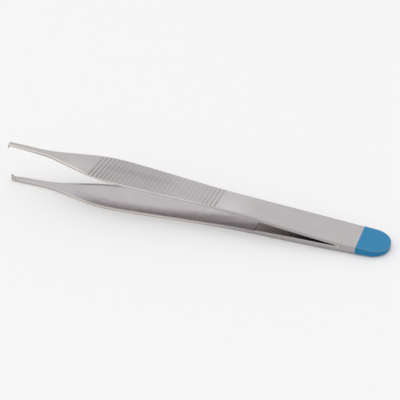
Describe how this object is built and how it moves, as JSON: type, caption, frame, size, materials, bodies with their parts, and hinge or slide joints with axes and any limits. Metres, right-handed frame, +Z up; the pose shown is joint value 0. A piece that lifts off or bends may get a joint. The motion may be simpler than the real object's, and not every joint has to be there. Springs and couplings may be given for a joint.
{
  "type": "thumb forceps",
  "caption": "Spring thumb forceps: two welded steel leaves with ribbed thumb grips, a slim toothed nose and a blue coated tail.",
  "frame": {"origin": "centre of the footprint on the surface that the forceps lie on, under the ribbed grip of the lower arm", "axes": "+X along the instrument from the tips to the coated tail, +Y across the arms, +Z up from the lower arm to the upper arm"},
  "size_m": [0.1201, 0.0124, 0.0134],
  "materials": {
    "steel": "satin",
    "weld_steel": "smooth",
    "blue_coating": "satin"
  },
  "bodies": {
    "root": {"lower_arm": "steel", "upper_arm": "steel", "tail_weld": "weld_steel", "end_coating": "blue_coating"}
  },
  "joints": []
}
